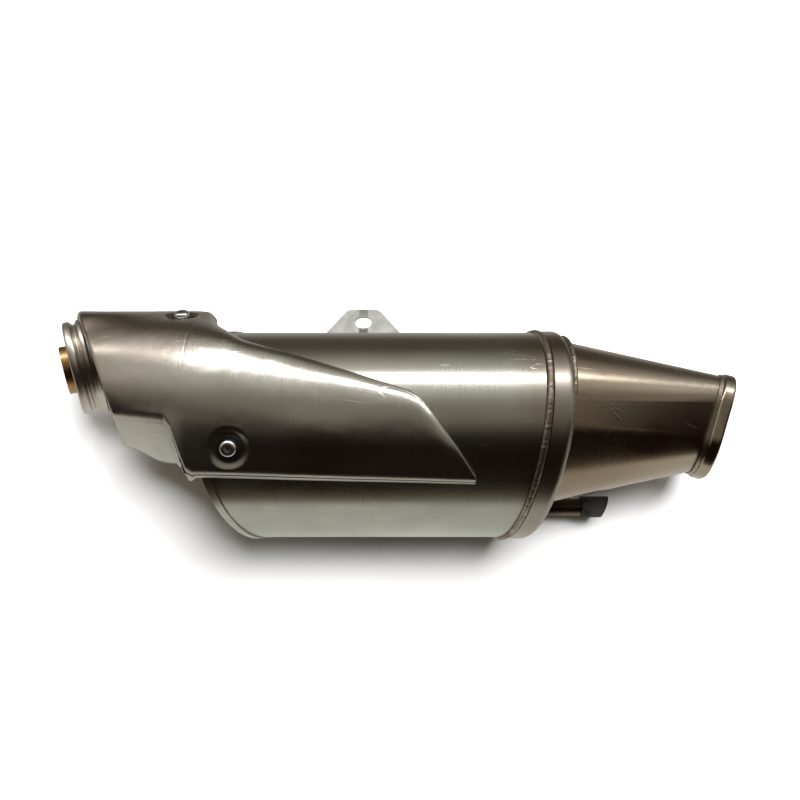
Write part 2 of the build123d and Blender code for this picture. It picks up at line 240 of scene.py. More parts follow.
def brushed_steel(name, tone, warm, heat_and_shade, rough, grain_strength, speckle, scratched=0.35):
    """Stainless sheet brushed round the can, turned toward `warm` where the given mask says: heat browning, and
    on the cone also painted shade and a painted highlight.
    """
    m = Nodes(name)
    grain, normal = round_grain(m, grain_strength)
    cloud = m.noise((16, 11, 16), detail=5, offset=(5, 2, 7), warp=0.4)
    darker, lighter = tuple(c * 0.80 for c in tone), tuple(min(1, c * 1.22) for c in tone)
    color = m.mix(m.ramp(cloud, 0.38, 0.66), darker, tone)
    color = m.mix(m.ramp(grain, 0.40, 0.62, 0.0, 0.16), color, lighter)
    color = m.mix(heat_and_shade(m, cloud), color, warm)
    pits = m.ramp(m.cells((210, 160, 210), (1, 4, 2)), 0.085, 0.03, 0.0, speckle)
    pits = m.math("MULTIPLY", pits, m.ramp(m.noise((19, 19, 19), offset=(8, 8, 1)), 0.50, 0.62))
    marks = scratches(m, (60, 17, 60), (2, 9, 4), 0.010)
    fine_marks = scratches(m, (30, 150, 45), (7, 3, 1), 0.012)
    color = m.mix(pits, color, PIT)
    color = m.mix(m.math("MULTIPLY", marks, scratched), color, BRIGHT_MARK)
    color = m.mix(m.math("MULTIPLY", fine_marks, 0.18), color, DARK_MARK)
    spread = m.ramp(cloud, 0.30, 0.70, rough + 0.07, rough - 0.05)
    spread = m.math("ADD", spread, m.ramp(grain, 0.35, 0.65, -0.02, 0.03))
    normal = m.bump(m.math("ADD", marks, m.math("MULTIPLY", pits, -1.0)), 0.20, 0.0002, normal)
    m.radial("Y", BRUSH_TURN)
    return m.finish(color, spread, 1.0, normal, BRUSH_STRETCH)


# Stretches of the frame's axes, in metres, over which heat marks grow; on the cone, the side stretches lay
# painted shade on the underside and a painted highlight on the paler bracket side
SHELL_HEAT_Y, PIPE_HEAT_Y = (0.066, 0.090), (-0.243, -0.205)
SHIELD_HEAT_Y, SHIELD_HEAT_X = (-0.085, -0.215), (0.015, -0.060)
CONE_HEAT_Y, CONE_RIM_Y = (0.215, 0.100), (0.214, 0.222)
CONE_LIT_SIDE_X, CONE_SHADED_UNDERSIDE_X = (-0.045, 0.030), (0.005, 0.050)


def shell_heat(m, cloud):
    """Brown tint close to the rear weld."""
    near_weld = m.ramp(m.axis("Y"), *SHELL_HEAT_Y, 0.0, 0.55)
    return m.math("MULTIPLY", near_weld, m.ramp(cloud, 0.30, 0.62, 0.4, 1.0), True)


def shield_heat(m, cloud):
    """Straw-brown haze toward the inlet and up the bracket side."""
    to_inlet = m.ramp(m.axis("Y"), *SHIELD_HEAT_Y, 0.05, 0.65)
    to_top = m.ramp(m.axis("X"), *SHIELD_HEAT_X, 0.35, 1.0)
    patchy = m.ramp(cloud, 0.30, 0.66, 0.45, 1.0)
    return m.math("MULTIPLY", m.math("MULTIPLY", to_inlet, to_top), patchy, True)


def band_heat(m, cloud):
    """Uneven light browning."""
    return m.ramp(cloud, 0.36, 0.64, 0.15, 0.65)


def cone_heat_and_painted_light(m, cloud):
    """Heat-browned most at the can and at the rim; the brown underside is partly heat and partly painted shade,
    and the paler bracket side is a painted highlight.
    """
    at_can, at_rim = m.ramp(m.axis("Y"), *CONE_HEAT_Y, 0.45, 1.0), m.ramp(m.axis("Y"), *CONE_RIM_Y)
    patchy = m.math("MULTIPLY", m.math("MAXIMUM", at_can, at_rim), m.ramp(cloud, 0.28, 0.64, 0.6, 1.0))
    # paler toward the bracket side, where the key light falls: a painted highlight
    across = m.ramp(m.axis("X"), *CONE_LIT_SIDE_X, 0.45, 1.0)
    # darker brown on the underside: painted shade, laid over the real heat browning
    underside = m.ramp(m.axis("X"), *CONE_SHADED_UNDERSIDE_X, 0.0, 0.9)
    return m.math("MAXIMUM", m.math("MULTIPLY", patchy, across), underside, True)


def weld_metal(name):
    """Rippled bead, stained in patches."""
    m = Nodes(name)
    ripple = m.noise((420, 420, 420), detail=5, rough=0.65)
    stain = m.noise((60, 90, 60), detail=4, offset=(4, 4, 4), warp=0.5)
    color = m.mix(m.ramp(stain, 0.32, 0.66), (0.17, 0.135, 0.10), (0.33, 0.30, 0.255))
    color = m.mix(m.edges(0.0008), color, (0.44, 0.40, 0.35))
    rough = m.ramp(stain, 0.3, 0.7, 0.46, 0.30)
    return m.finish(color, rough, 1.0, m.bump(ripple, 0.25, 0.0003))


def satin_metal(name, dark, light, rough, grain=900, bump=0.25):
    """Plain sheet or turned metal: blotchy tone, fine grain, bright worn edges."""
    m = Nodes(name)
    cloud = m.noise((34, 34, 34), detail=5, offset=(2, 6, 1), warp=0.4)
    fine = m.noise((grain, grain * 2, grain), detail=3, rough=0.65)
    color = m.mix(m.ramp(cloud, 0.36, 0.64), dark, light)
    color = m.mix(m.ramp(fine, 0.55, 0.75, 0.0, 0.25), color, tuple(c * 0.6 for c in dark))
    color = m.mix(m.math("MULTIPLY", m.edges(0.0006), 0.6), color, tuple(min(1, c * 1.35) for c in light))
    spread = m.ramp(cloud, 0.3, 0.7, rough + 0.06, rough - 0.05)
    return m.finish(color, spread, 1.0, m.bump(fine, bump, 0.00008))


RING_R, RING_HALF = 0.0105, 0.0012         # metres: the washer's rubbed ring round the slot
STRIP_HALF, STRIP_EDGE = 0.0045, 0.0025    # metres: the stained strip across the plate
STRIP_FROM, STRIP_TO = (0.0045, 0.0058), (0.018, 0.014)


def bracket_metal(name):
    """Matt plated sheet, rubbed in a ring round the slot by the bolt's washer and stained beside it."""
    m = Nodes(name)
    slot = mount("bracket_slot")["pos_m"]
    cloud = m.noise((60, 60, 60), detail=5, warp=0.5)
    fine = m.noise((1100, 1100, 1100), detail=3, rough=0.65)
    across = m.math("SUBTRACT", m.axis("X"), slot[0])
    along = m.math("SUBTRACT", m.axis("Y"), slot[1])
    away = m.math("SQRT", m.math("ADD", m.math("POWER", across, 2.0), m.math("POWER", along, 2.0)))
    ring = m.math("ABSOLUTE", m.math("SUBTRACT", away, RING_R))
    rubbed = m.math("MULTIPLY", m.ramp(ring, RING_HALF, 0.0), m.ramp(cloud, 0.4, 0.6, 0.2, 0.8))
    across_plate = m.ramp(m.math("ABSOLUTE", along), STRIP_HALF, STRIP_EDGE)
    strip = m.math("MULTIPLY", across_plate, m.ramp(away, *STRIP_FROM))
    strip = m.math("MULTIPLY", strip, m.ramp(away, *STRIP_TO))
    color = m.mix(m.ramp(cloud, 0.36, 0.64), (0.40, 0.405, 0.39), (0.54, 0.54, 0.52))
    color = m.mix(m.math("MULTIPLY", rubbed, 0.5), color, (0.20, 0.20, 0.19))
    color = m.mix(m.math("MULTIPLY", strip, m.ramp(cloud, 0.35, 0.6, 0.4, 0.9)), color, (0.13, 0.095, 0.07))
    color = m.mix(m.math("MULTIPLY", m.edges(0.0006), 0.6), color, (0.22, 0.22, 0.21))
    return m.finish(color, m.ramp(cloud, 0.3, 0.7, 0.62, 0.50), 0.7, m.bump(fine, 0.3, 0.00008))


def inlet_metal(name):
    """Heat-tinted tube: bronze toward the collar, brighter brass at the open end."""
    m = Nodes(name)
    cloud = m.noise((50, 50, 50), detail=5, warp=0.5)
    fine = m.noise((700, 1800, 700), detail=3)
    hot = m.ramp(m.axis("Y"), *PIPE_HEAT_Y)
    color = m.mix(hot, (0.40, 0.235, 0.10), (0.22, 0.12, 0.06))
    color = m.mix(m.ramp(cloud, 0.45, 0.66, 0.0, 0.6), color, (0.13, 0.085, 0.065))
    color = m.mix(m.math("MULTIPLY", m.edges(0.0007), 0.7), color, (0.58, 0.42, 0.24))
    return m.finish(color, m.ramp(cloud, 0.3, 0.7, 0.36, 0.24), 1.0, m.bump(fine, 0.2, 0.00008))


def dull(name, dark, light, rough=0.75, grain=600, bump=0.4):
    """Rubber or fibre: speckled tone and fine grain."""
    m = Nodes(name)
    cloud = m.noise((70, 70, 70), detail=5, warp=0.4)
    fine = m.noise((grain, grain, grain), detail=4, rough=0.65)
    color = m.mix(m.ramp(cloud, 0.35, 0.65), dark, light)
    worn = tuple(min(1, c * 2.2 + 0.05) for c in light)
    color = m.mix(m.math("MULTIPLY", m.edges(0.0006), 0.35), color, worn)
    spread = m.ramp(fine, 0.3, 0.7, rough - 0.1, rough + 0.1)
    return m.finish(color, spread, 0.0, m.bump(fine, bump, 0.0002))


materials = {
    "shell_steel": brushed_steel("shell_steel", (0.42, 0.415, 0.375), (0.25, 0.18, 0.13), shell_heat,
                                 rough=0.26, grain_strength=0.16, speckle=0.3),
    "shield_steel": brushed_steel("shield_steel", (0.43, 0.42, 0.385), (0.30, 0.205, 0.145), shield_heat,
                                  rough=0.28, grain_strength=0.18, speckle=0.8),
    "band_steel": brushed_steel("band_steel", (0.36, 0.34, 0.31), (0.24, 0.18, 0.13), band_heat,
                                rough=0.30, grain_strength=0.20, speckle=0.3),
    "cone_steel": brushed_steel("cone_steel", (0.46, 0.41, 0.345), (0.22, 0.155, 0.10), cone_heat_and_painted_light,
                                rough=0.22, grain_strength=0.14, speckle=0.4, scratched=0.08),
    "weld_metal": weld_metal("weld_metal"),
    "collar_steel": satin_metal("collar_steel", (0.45, 0.40, 0.35), (0.62, 0.58, 0.53), rough=0.34),
    "inlet_steel": inlet_metal("inlet_steel"),
    "screw_steel": satin_metal("screw_steel", (0.42, 0.43, 0.45), (0.68, 0.69, 0.71), rough=0.26),
    "washer_steel": satin_metal("washer_steel", (0.05, 0.05, 0.055), (0.13, 0.13, 0.14), rough=0.36),
    "seal_black": dull("seal_black", (0.012, 0.012, 0.013), (0.035, 0.034, 0.033)),
    "bracket_steel": bracket_metal("bracket_steel"),
    "post_steel": satin_metal("post_steel", (0.045, 0.032, 0.026), (0.12, 0.088, 0.068), rough=0.42),
    "buffer_rubber": dull("buffer_rubber", (0.012, 0.012, 0.012), (0.040, 0.038, 0.036)),
    "inner_steel": satin_metal("inner_steel", (0.13, 0.11, 0.10), (0.34, 0.30, 0.26), rough=0.45),
    "mat_fibre": dull("mat_fibre", (0.42, 0.38, 0.30), (0.66, 0.61, 0.50), rough=0.92, grain=1500, bump=0.8),
}

SHARP = math.radians(32)                   # a steeper turn between faces is a visible edge
slot_of = {part["node"]: part["material_slot"] for part in frame["record"]["subparts"]}
for name, node in nodes.items():
    node.data.materials.clear()
    node.data.materials.append(materials[slot_of[name]])
    node.data.polygons.foreach_set("use_smooth", [True] * len(node.data.polygons))
    node.data.set_sharp_from_angle(angle=SHARP)


# ================================================================ mesh helpers
MERGE_DISTANCE = 0.00001                   # metres; closer points become one


def new_piece(name, points, faces, slot, stands_for):
    """A mesh piece that rides with the silencer, from points in silencer millimetres."""
    mesh = bpy.data.meshes.new(name)
    mesh.from_pydata([place(*p) for p in points], [], faces)
    mesh.update()
    piece = bpy.data.objects.new(name, mesh)
    bpy.context.scene.collection.objects.link(piece)
    bm = bmesh.new()
    bm.from_mesh(mesh)
    bmesh.ops.remove_doubles(bm, verts=bm.verts, dist=MERGE_DISTANCE)
    bmesh.ops.recalc_face_normals(bm, faces=bm.faces)
    bm.to_mesh(mesh)
    bm.free()
    mesh.polygons.foreach_set("use_smooth", [True] * len(mesh.polygons))
    mesh.materials.append(materials[slot])
    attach(piece, "root")
    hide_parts(*stands_for)
    return piece


def grid_faces(rows, columns, close_rows=False):
    """Quads of a grid stored row by row, with the last row joined to the first if it is closed."""
    faces = []
    for i in range(rows if close_rows else rows - 1):
        this, following = i * columns, (i + 1) % rows * columns
        faces += [(this + j, this + j + 1, following + j + 1, following + j) for j in range(columns - 1)]
    return faces


def rear_x(x0, y, z):
    """X of the slanted rear plane that crosses the axis at x0."""
    return x0 + REAR_SLANT_Y * y + REAR_SLANT_Z * z


def resample(outline, count):
    """A closed outline of (y, z) as `count` evenly spaced (y, z, normal_y, normal_z), and its length."""
    lengths = [math.dist(a, b) for a, b in zip(outline, outline[1:] + outline[:1])]
    total, result, k, start = sum(lengths), [], 0, 0.0
    for i in range(count):
        s = total * i / count
        while s > start + lengths[k]:
            start += lengths[k]
            k += 1
        a, b = outline[k], outline[(k + 1) % len(outline)]
        t = (s - start) / lengths[k]
        result.append((a[0] + (b[0] - a[0]) * t, a[1] + (b[1] - a[1]) * t))
    with_normals = []
    for i, (y, z) in enumerate(result):
        (ya, za), (yb, zb) = result[i - 2], result[(i + 2) % count]
        length = math.hypot(yb - ya, zb - za)
        with_normals.append((y, z, (zb - za) / length, -(yb - ya) / length))
    return with_normals, total


def rounded_rectangle(height, width, corner, centre=(0, 0), steps=24):
    """Closed outline of (y, z), anticlockwise seen with Y right and Z up."""
    points = []
    for k, (sy, sz) in enumerate(((1, 1), (-1, 1), (-1, -1), (1, -1))):
        cy, cz = centre[0] + sy * (height / 2 - corner), centre[1] + sz * (width / 2 - corner)
        for i in range(steps + 1):
            a = math.radians(90 * (k + i / steps))
            points.append((cy + corner * math.cos(a), cz + corner * math.sin(a)))
    return points


def can_outline(r, flat, corner=12.0, steps=160):
    """Round can with a flat back and blended corners, as a closed outline of (y, z)."""
    centre_z = -flat + corner
    centre_y = math.sqrt((r - corner) ** 2 - centre_z ** 2)
    turn = math.atan2(centre_z, centre_y)
    points = [(r * math.cos(a), r * math.sin(a))
              for a in (turn + (math.pi - 2 * turn) * i / steps for i in range(steps + 1))]
    corner_steps = 14
    for i in range(1, corner_steps + 1):
        a = math.pi - turn + (math.pi / 2 + turn) * i / corner_steps
        points.append((-centre_y + corner * math.cos(a), centre_z + corner * math.sin(a)))
    for i in range(corner_steps):
        a = -math.pi / 2 + (math.pi / 2 + turn) * i / corner_steps
        points.append((centre_y + corner * math.cos(a), centre_z + corner * math.sin(a)))
    return points


# ================================================================ weld beads
SHELL_WELD_X, CONE_WELD_X = 82.0, 100.6    # where the beads' planes cross the axis
SHELL_WELD = {"lift": 2.2, "width": 4.6, "pitch": 3.1}
CONE_WELD = {"lift": 2.2, "width": 3.8, "pitch": 2.7}
CONE_BASE, CONE_BASE_AT = (120.0, 118.0, 53.0), (7.5, 2.0)     # height, width and corner; centre
STATIONS_PER_MM, BEAD_STRIPS = 2.2, 14
TOE_SINK, LOWEST = 0.35, -0.4              # the bead's edges go this far into the sheet
FLUSH_EASE = 5.0                           # length over which a bead runs out to the flat back


def weld_bead(name, outline, x_of, lift, width, pitch, stands_for, flush_z=None):
    """A ring bead with overlapping crescent ripples, uneven in width and height."""
    around = sum(math.dist(a, b) for a, b in zip(outline, outline[1:] + outline[:1]))
    ring, total = resample(outline, int(around * STATIONS_PER_MM))
    points = []
    for i, (y, z, ny, nz) in enumerate(ring):
        s = total * i / len(ring)
        wander = noise.noise(Vector((s * 0.09, 1.7, 3.1)))
        lump = noise.noise(Vector((s * 0.35, 8.3, 0.4)))
        phase = (s / pitch + 0.35 * wander) % 1.0
        ripple = abs(math.sin(math.pi * phase)) ** 0.6
        high = lift * (0.84 + 0.08 * ripple + 0.12 * lump)
        half = width / 2 * (1.0 + 0.06 * wander + 0.04 * lump)
        if flush_z is not None:
            high *= smooth((z - flush_z) / FLUSH_EASE)
        for j in range(BEAD_STRIPS + 1):
            t = -1 + 2 * j / BEAD_STRIPS
            crown = 1 - t * t
            bow = crown * pitch * 0.35
            phase_j = ((s + bow) / pitch + 0.35 * wander) % 1.0
            dip = 0.08 * lift * (1 - abs(math.sin(math.pi * phase_j)) ** 0.5)
            at_toe = j in (0, BEAD_STRIPS)
            h = max(high * math.sqrt(crown) - dip * crown, LOWEST) - TOE_SINK * at_toe
            yy, zz = y + ny * h, z + nz * h
            points.append((x_of(yy, zz) + t * half, yy, zz))
    faces = grid_faces(len(ring), BEAD_STRIPS + 1, close_rows=True)
    return new_piece(name, points, faces, "weld_metal", stands_for)


weld_bead("shell_weld_bead", can_outline(CAN_R, CAN_FLAT), lambda y, z: rear_x(SHELL_WELD_X, y, z),
          stands_for=["shell_weld"], flush_z=-CAN_FLAT, **SHELL_WELD)
weld_bead("cone_weld_bead", rounded_rectangle(*CONE_BASE, CONE_BASE_AT),
          lambda y, z: rear_x(CONE_WELD_X, y, z), stands_for=["cone_weld"], **CONE_WELD)


# ================================================================ heat shield
LIP_AT, LIP_NORMAL = (-216.5, 40.0), (1.0, 0.40, -0.33)        # the lip's slanted plane
LIP_GUESS = -205.0                         # X from which each row's way to the lip is found
START_X, TIP_X = -245.0, 47.0              # first station, before the lip, and the shield's tip
SHIELD_R = [(-104.0, 80.5), (-20.0, 79.0), (60.0, 76.8)]       # radius over the can
# Marks of the neck's section, (y, z), from the lower crease over the flat face, the bend and
# the slanted facet to the back edge, and the y each mark has once the neck is on the can.
NECK = [(5.0, 48.0), (13.0, 50.0), (25.0, 51.5), (38.0, 49.5), (51.0, 46.6), (66.0, 39.0), (81.0, 28.5),
        (88.0, 14.0), (91.0, -14.0)]
CAN_Y = [-33.0, -14.0, 0.0, 18.0, 29.0, 39.0, 58.0, 74.0, 79.5]
RISE_FROM, RISE_TO = -214.0, -113.0        # where the face rises from neck to can
SPREAD = [(-205.0, -40.0)] * 6 + [(-150.0, -70.0)] * 3         # where each mark moves along Y
FACE_MARKS = 6                             # the marks that rise with the face; the others wrap round it
FOLLOW = 0.3                               # how far a rising mark takes its height from where it stands
CREASE = [(START_X, 6.5), (-186.0, 5.0), (-148.0, 0.5), (-143.0, -5.0), (-133.0, -30.0), (-129.0, -32.5),
          (TIP_X, -37.5)]
UPPER_EDGE = [(-143.0, 92.0), (-124.0, 71.0), (-103.0, 56.0), (-62.0, 41.5), (6.0, 17.0), (12.0, 13.0),
              (18.0, 5.0), (TIP_X, -37.2)]
WRAP_EASE = 8.0                            # length over which the edge turns from wrap to diagonal
# The flank below the crease: at x, its step down along Y and back along Z
FLANK = [(-197.0, (3.0, 12.0)), (-190.0, (17.0, 40.0)), (-158.0, (25.0, 40.0)), (-146.0, (25.0, 32.0)),
         (-140.0, (18.0, 24.0)), (-134.0, (7.5, 12.0)), (-126.0, (3.0, 6.0)), (TIP_X, (2.2, 4.5))]
FLANK_HOLLOW, FLANK_FULL = 1.6, 30.0       # the flank's hollow, and its length where that is full
CREASE_ROUND, CREASE_SHARE = 4.0, 0.45     # the crease's rounding, and its largest share of the flank
FACE_SHARE = 0.3                           # the rounding's largest share of the face
PAST_TOP, LEAST_FACE = 2.0, 0.6            # limits for the cut along the upper edge
EDGE_FROM, EDGE_EASE = -150.0, 30.0        # where the upper edge starts to dip toward the can
EDGE_DIP, EDGE_FADE = 2.0, 6.0             # how far it dips, and how fast that fades over the face
DIP_WIDTH = 30.0                           # a face narrower than this dips less
EDGE_BEND, EDGE_DEPTH = 2.4, 4.4           # bend radius and depth of the turned-in upper edge
LIP_HEM = [(5.0, 3.4), (3.4, 3.2), (1.7, 2.6), (0.5, 1.5)]     # the rolled lip, (inward, forward)
WAVES, WAVE_AXIS_Y = [(0.30, 0.035), (0.05, 0.16)], 20.0       # slight waviness: heights and rates
SHEET = 1.0                                # thickness


def can_face(x, y):
    """Height of the shield's face over the can."""
    return math.sqrt(max(between(SHIELD_R, x) ** 2 - y * y, 0.0))


def curve_through(knots, steps=10):
    """A smooth curve through a few (y, z) points, with tangents weighted by the spacing."""
    gaps = [max(math.dist(a, b), 1e-6) for a, b in zip(knots, knots[1:])]
    slopes = [tuple((q - p) / gap for p, q in zip(a, b)) for a, b, gap in zip(knots, knots[1:], gaps)]
    tangents = [slopes[0]]
    for g0, g1, s0, s1 in zip(gaps, gaps[1:], slopes, slopes[1:]):
        tangents.append(tuple((g0 * b + g1 * a) / (g0 + g1) for a, b in zip(s0, s1)))
    tangents.append(slopes[-1])
    points = []
    for a, b, gap, ta, tb in zip(knots, knots[1:], gaps, tangents, tangents[1:]):
        for i in range(steps):
            t = i / steps
            h = (2 * t ** 3 - 3 * t * t + 1, t ** 3 - 2 * t * t + t, 3 * t * t - 2 * t ** 3, t ** 3 - t * t)
            points.append(tuple(h[0] * p + h[1] * gap * m + h[2] * q + h[3] * gap * n
                                for p, m, q, n in zip(a, ta, b, tb)))
    return points + [knots[-1]]


def face_curve(x):
    """The shield's section at x from the lower crease to its upper edge."""
    knots = []
    u = min(max((x - RISE_FROM) / (RISE_TO - RISE_FROM), 0.0), 1.0)
    rise = 0.5 * (u + smooth(u))
    for k, ((y, z), can_y, (start, end)) in enumerate(zip(NECK, CAN_Y, SPREAD)):
        t = smooth((x - start) / (end - start))
        here = y + (can_y - y) * t
        if k == 0:
            here = can_y = between(CREASE, x)
        target = can_face(x, can_y + FOLLOW * (here - can_y))
        knots.append((here, z + (target - z) * (rise if k < FACE_MARKS else t)))
    points = curve_through(knots)
    if x > UPPER_EDGE[0][0]:
        top = points[-1][0] + PAST_TOP
        cut = between(UPPER_EDGE, x)
        cut += (top - cut) * (1 - smooth((x - UPPER_EDGE[0][0]) / WRAP_EASE))
        cut = max(cut, points[0][0] + LEAST_FACE)
        kept = [points[0]]
        for (ya, za), (yb, zb) in zip(points, points[1:]):
            if yb >= cut:
                t = (cut - ya) / max(yb - ya, 1e-6)
                kept.append((cut, za + (zb - za) * t))
                break
            kept.append((yb, zb))
        points = kept
    return points


def evenly(points, count):
    """`count` points spaced evenly along an open curve."""
    marks = [0.0]
    for a, b in zip(points, points[1:]):
        marks.append(marks[-1] + math.dist(a, b))
    result, k = [], 0
    for i in range(count):
        s = marks[-1] * i / (count - 1)
        while k < len(points) - 2 and s > marks[k + 1]:
            k += 1
        t = (s - marks[k]) / max(marks[k + 1] - marks[k], 1e-9)
        result.append(tuple(p + (q - p) * t for p, q in zip(points[k], points[k + 1])))
    return result, marks[-1]


def outward(points, i):
    """Unit normal of an open curve at point i, away from the can."""
    (ya, za), (yb, zb) = points[max(i - 1, 0)], points[min(i + 1, len(points) - 1)]
    length = max(math.hypot(yb - ya, zb - za), 1e-9)
    return -(zb - za) / length, (yb - ya) / length


def shield_column(x, flank_rows=16, crease_rows=7, face_rows=112, edge_rows=8, bend_rows=5):
    """One station of the sheet: flank, rounded crease, face and turned-in upper edge."""
    face, width = evenly(face_curve(x), face_rows)
    y0, z0 = face[0]
    down, back = (between([(at, step[k]) for at, step in FLANK], x, smooth) for k in range(2))
    length = math.hypot(down, back)
    dy, dz = -down / length, -back / length
    crease_round = min(CREASE_ROUND, CREASE_SHARE * length)
    column = []
    for j in range(flank_rows):
        t = 1 - j / flank_rows
        hollow = FLANK_HOLLOW * math.sin(math.pi * t) * min(length / FLANK_FULL, 1.0)
        d = max(length * t, crease_round)
        column.append((y0 + dy * d + dz * hollow, z0 + dz * d - dy * hollow))
    ya, za = y0 + dy * crease_round, z0 + dz * crease_round
    reach = min(crease_round, width * FACE_SHARE)
    k = max(1, round(reach / max(width, 1e-6) * (face_rows - 1)))
    yb, zb = face[k]
    for j in range(1, crease_rows + 1):
        u = j / (crease_rows + 1)
        column.append(tuple((1 - u) ** 2 * p + 2 * u * (1 - u) * q + u * u * r
                            for p, q, r in zip((ya, za), (y0, z0), (yb, zb))))
    rest, _ = evenly(face[k:], face_rows)
    on_can = smooth((x - EDGE_FROM) / EDGE_EASE)
    for j, (y, z) in enumerate(rest):
        ny, nz = outward(rest, j)
        from_edge = width * (1 - j / (face_rows - 1))
        dip = EDGE_DIP * math.exp(-from_edge / EDGE_FADE) * on_can * min(1.0, width / DIP_WIDTH)
        column.append((y - ny * dip, z - nz * dip))
    ny, nz = outward(rest, face_rows - 1)
    ty, tz = nz, -ny                                     # along the face, past its edge
    yt, zt = column[-1]
    for j in range(1, edge_rows + 1):
        a = math.pi / 2 * min(j / bend_rows, 1.0)
        straight = (EDGE_DEPTH - EDGE_BEND) * max(j - bend_rows, 0) / (edge_rows - bend_rows)
        along, inward = EDGE_BEND * math.sin(a), EDGE_BEND * (1 - math.cos(a)) + straight
        column.append((yt + ty * along - ny * inward, zt + tz * along - nz * inward))
    return column


def lip_x(y, z):
    """X of the slanted lip's plane."""
    nx, ny, nz = LIP_NORMAL
    return LIP_AT[0] - (ny * (y - LIP_AT[1]) + nz * z) / nx


def screw_axis(x, y, angle, reach):
    """Pocket centre and axis, `reach` from (x, y, 0) and `angle` degrees toward Y from straight up."""
    a = math.radians(angle)
    n = Vector((0, math.sin(a), math.cos(a)))
    return Vector((x, y, 0)) + n * reach, n


# Pocket axis, radius of its flat floor and width of its sloping wall
POCKETS = [(*screw_axis(-104.8, 0.0, -13.6, 77.5), 8.8, 5.2), (*screw_axis(-152.5, 43.2, 50.0, 45.9), 9.2, 3.2)]
POCKET_REACH = 16.0                        # only sheet this close to a pocket's floor is pressed


def pressed(p):
    """A shield point after the screw pockets are pressed in."""
    for centre, n, floor, wall in POCKETS:
        d = p - centre
        height = d.dot(n)
        away = (d - n * height).length
        if away < floor + wall and abs(height) < POCKET_REACH:
            p = p - n * height * (1 - smooth((away - floor) / wall))
    return p


def make_shield():
    """The pressed sheet, lofted through its stations and cut square to the slanted lip."""
    stations = [shield_column(START_X + i) for i in range(int(TIP_X - START_X) + 1)]
    rows, columns = len(stations[0]), 400

    def at(x, row):
        k = min(max(x - START_X, 0.0), len(stations) - 1.001)      # stations stand 1 mm apart
        (ya, za), (yb, zb) = stations[int(k)][row], stations[int(k) + 1][row]
        t = k - int(k)
        return ya + (yb - ya) * t, za + (zb - za) * t

    starts = []                            # where each row meets the lip's plane
    for row in range(rows):
        x = LIP_GUESS
        for _ in range(12):
            x = 0.5 * (x + lip_x(*at(x, row)))
        starts.append(x)
    points = []
    for i in range(columns):
        t = i / (columns - 1)
        for row in range(rows):
            x = starts[row] + (TIP_X - starts[row]) * t
            y, z = at(x, row)
            p = pressed(Vector((x, y, z)))
            wave = sum(high * noise.noise(p * rate) for high, rate in WAVES)
            points.append(tuple(p + Vector((0, y - WAVE_AXIS_Y, z)).normalized() * wave))
    first = points[:rows]
    lip = []
    for turn_in, forward in LIP_HEM:
        for x, y, z in first:
            d = Vector((0, LIP_AT[1] - y, -z)).normalized() * turn_in
            lip.append((x - forward, y + d.y, z + d.z))
    faces = grid_faces(columns + len(LIP_HEM), rows)
    piece = new_piece("heat_shield_sheet", lip + points, faces, "shield_steel", ["heat_shield"])
    solid = piece.modifiers.new("sheet", "SOLIDIFY")
    solid.thickness = SHEET * MM
    solid.offset = -1


make_shield()


# ================================================================ inlet collar
PIPE_OUT = 5.5                             # the pipe's end stands this far out of the collar
out_x, out_y, out_z = mount("inlet")["axis"]
INLET_NORMAL = Vector((out_y, -out_x, out_z)).normalized()
INLET_AT = silencer(mount("inlet")["pos_m"]) - INLET_NORMAL * PIPE_OUT
# Distance behind the mouth and radius: mouth face, front ring, groove, middle ring, rear step
COLLAR_PROFILE = [(0.9, 17.6), (0.0, 18.6), (0.0, 32.0), (0.5, 33.5), (1.7, 34.4), (4.8, 34.4), (6.0, 33.6),
                  (7.2, 31.6), (8.4, 31.8), (9.4, 34.0), (10.8, 35.0), (13.0, 35.0), (14.2, 34.2), (15.0, 35.2),
                  (16.2, 36.2), (17.0, 36.2)]


def make_collar(around=144):
    """The turned collar with its rounded rings, spun round the inlet's axis."""
    side = INLET_NORMAL.cross(Vector((0, 1, 0))).normalized()
    up = side.cross(INLET_NORMAL)
    points = []
    for i in range(around):
        a = 2 * math.pi * i / around
        out = side * math.cos(a) + up * math.sin(a)
        points += [tuple(INLET_AT - INLET_NORMAL * back + out * r) for back, r in COLLAR_PROFILE]
    piece = new_piece("inlet_collar_rings", points, grid_faces(around, len(COLLAR_PROFILE), close_rows=True),
                      "collar_steel", ["inlet_collar"])
    rounding = piece.modifiers.new("rounding", "SUBSURF")
    rounding.levels = rounding.render_levels = 2


make_collar()


# ================================================================ stage
FLOOR_HALF, FLOOR_SHIFT, FLOOR_DROP = (0.46, 0.9), 0.02, 0.0004    # metres


def make_floor():
    mesh = bpy.data.meshes.new("floor")
    bm = bmesh.new()
    bmesh.ops.create_grid(bm, x_segments=24, y_segments=24, size=1.0)
    for v in bm.verts:
        v.co = Vector((v.co.x * FLOOR_HALF[0] + FLOOR_SHIFT, v.co.y * FLOOR_HALF[1], -FLOOR_DROP))
    bm.to_mesh(mesh)
    bm.free()
    floor = bpy.data.objects.new("floor", mesh)
    bpy.context.scene.collection.objects.link(floor)
    m = Nodes("pale_floor")
    cloud = m.noise((6, 6, 6), detail=3)
    fine = m.noise((900, 900, 900), detail=3)
    color = m.mix(m.ramp(cloud, 0.3, 0.7), (0.86, 0.86, 0.86), (0.90, 0.90, 0.90))
    floor.data.materials.append(m.finish(color, 0.75, 0.0, m.bump(fine, 0.05, 0.0001)))
    floor.visible_glossy = False           # the room's PAPER tones stand for it in the metal


